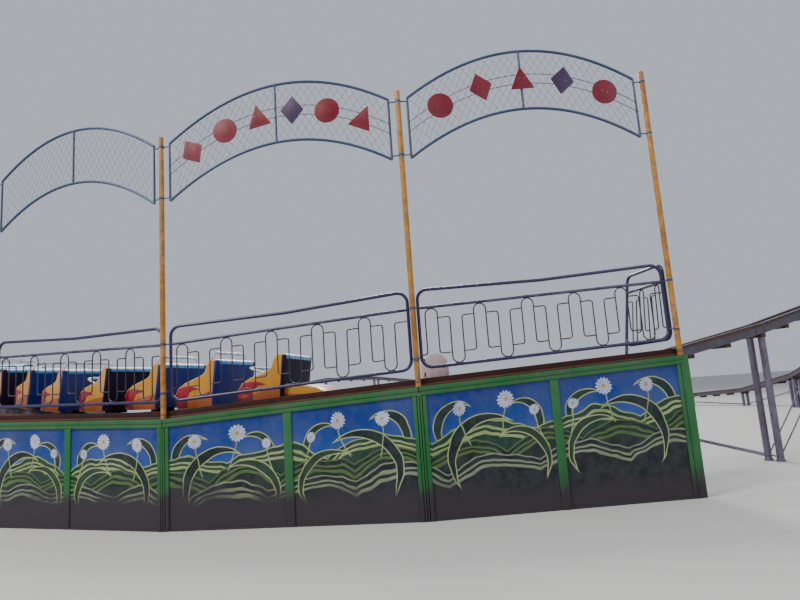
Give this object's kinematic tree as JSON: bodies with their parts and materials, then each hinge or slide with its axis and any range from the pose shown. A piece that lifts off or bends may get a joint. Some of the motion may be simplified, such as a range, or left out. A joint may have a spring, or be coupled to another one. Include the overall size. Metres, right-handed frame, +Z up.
{
  "type": "rolling train fairground ride with boarding station",
  "caption": "Closed ring of rolling track on pipe legs with a parked train of two-seat rows and a boarding station with painted skirt, railings, masts and sign arches.",
  "frame": {"origin": "under the middle of the footprint, on the level that the lowest feet stand on", "axes": "+Z up, -Y towards the boarding front, +X to the right as seen from that front"},
  "size_m": [24.6498, 26.0446, 5.4676],
  "materials": {
    "deck": "dark red-brown paint, worn",
    "green_frame": "green paint over wood, worn",
    "painted_panel": "hand-painted mural, weathered",
    "railing_pipe": "dark indigo gloss paint",
    "ochre_mast": "ochre paint, semi-gloss",
    "arch_pipe": "blue-grey paint",
    "red_plate": "dark red paint, faded",
    "track_steel": "grey paint with rust",
    "blue_shell": "blue gel coat on moulded shell",
    "purple_shell": "dark purple gel coat on moulded shell",
    "white_bar": "white paint, semi-gloss",
    "control_box": "pinkish white paint"
  },
  "bodies": {
    "root": {"track_section_1": "track_steel", "track_section_2": "track_steel", "track_section_3": "track_steel", "track_section_4": "track_steel", "track_section_5": "track_steel", "track_section_6": "track_steel", "track_section_7": "track_steel", "deck_1": "deck", "skirt_frame_1": "green_frame", "skirt_panel_1": "painted_panel", "railing_1": "railing_pipe", "arch_1": "arch_pipe", "end_railing_left": "railing_pipe", "deck_2": "deck", "skirt_frame_2": "green_frame", "skirt_panel_2": "painted_panel", "railing_2": "railing_pipe", "arch_2": "arch_pipe", "deck_3": "deck", "skirt_frame_3": "green_frame", "skirt_panel_3": "painted_panel", "railing_3": "railing_pipe", "arch_3": "arch_pipe", "sign_plates_3": "red_plate", "deck_4": "deck", "skirt_frame_4": "green_frame", "skirt_panel_4": "painted_panel", "railing_4": "railing_pipe", "arch_4": "arch_pipe", "sign_plates_4": "red_plate", "end_railing_right": "railing_pipe", "control_box": "control_box", "mast_1": "ochre_mast", "mast_2": "ochre_mast", "mast_3": "ochre_mast", "mast_4": "ochre_mast", "mast_5": "ochre_mast", "seat_row_1": "purple_shell", "seat_row_2": "blue_shell", "seat_row_3": "blue_shell", "seat_row_4": "purple_shell", "seat_row_5": "blue_shell", "seat_row_6": "blue_shell", "seat_row_7": "purple_shell", "seat_row_8": "blue_shell", "seat_row_9": "blue_shell"},
    "lap_bar_1": {"lap_bar_1": "white_bar"},
    "lap_bar_2": {"lap_bar_2": "white_bar"},
    "lap_bar_3": {"lap_bar_3": "white_bar"},
    "lap_bar_4": {"lap_bar_4": "white_bar"},
    "lap_bar_5": {"lap_bar_5": "white_bar"},
    "lap_bar_6": {"lap_bar_6": "white_bar"},
    "lap_bar_7": {"lap_bar_7": "white_bar"},
    "lap_bar_8": {"lap_bar_8": "white_bar"},
    "lap_bar_9": {"lap_bar_9": "white_bar"}
  },
  "joints": [
    {"name": "lap_bar_1_swing", "type": "hinge", "parent": "root", "child": "lap_bar_1", "pos_m": [0.84157, -11.38629, 1.71056], "axis": [0.0514, -0.9987, 0], "range_deg": [-78, 0]},
    {"name": "lap_bar_2_swing", "type": "hinge", "parent": "root", "child": "lap_bar_2", "pos_m": [-0.09581, -11.45226, 1.71147], "axis": [-0.0263, -0.9997, 0], "range_deg": [0, 78]},
    {"name": "lap_bar_3_swing", "type": "hinge", "parent": "root", "child": "lap_bar_3", "pos_m": [-1.02568, -11.35707, 1.73596], "axis": [-0.1037, -0.9946, 0], "range_deg": [0, 78]},
    {"name": "lap_bar_4_swing", "type": "hinge", "parent": "root", "child": "lap_bar_4", "pos_m": [-1.95224, -11.26344, 1.75876], "axis": [-0.1806, -0.9836, 0], "range_deg": [-78, 0]},
    {"name": "lap_bar_5_swing", "type": "hinge", "parent": "root", "child": "lap_bar_5", "pos_m": [-2.86961, -11.09942, 1.80269], "axis": [-0.2564, -0.9666, 0], "range_deg": [0, 78]},
    {"name": "lap_bar_6_swing", "type": "hinge", "parent": "root", "child": "lap_bar_6", "pos_m": [-3.75203, -10.80285, 1.88789], "axis": [-0.3306, -0.9438, 0], "range_deg": [0, 78]},
    {"name": "lap_bar_7_swing", "type": "hinge", "parent": "root", "child": "lap_bar_7", "pos_m": [-4.63701, -10.50679, 1.97397], "axis": [-0.4028, -0.9153, 0], "range_deg": [-78, 0]},
    {"name": "lap_bar_8_swing", "type": "hinge", "parent": "root", "child": "lap_bar_8", "pos_m": [-5.49052, -10.12101, 2.07573], "axis": [-0.4726, -0.8813, 0], "range_deg": [0, 78]},
    {"name": "lap_bar_9_swing", "type": "hinge", "parent": "root", "child": "lap_bar_9", "pos_m": [-6.29255, -9.63265, 2.19517], "axis": [-0.5396, -0.8419, 0], "range_deg": [0, 78]}
  ]
}
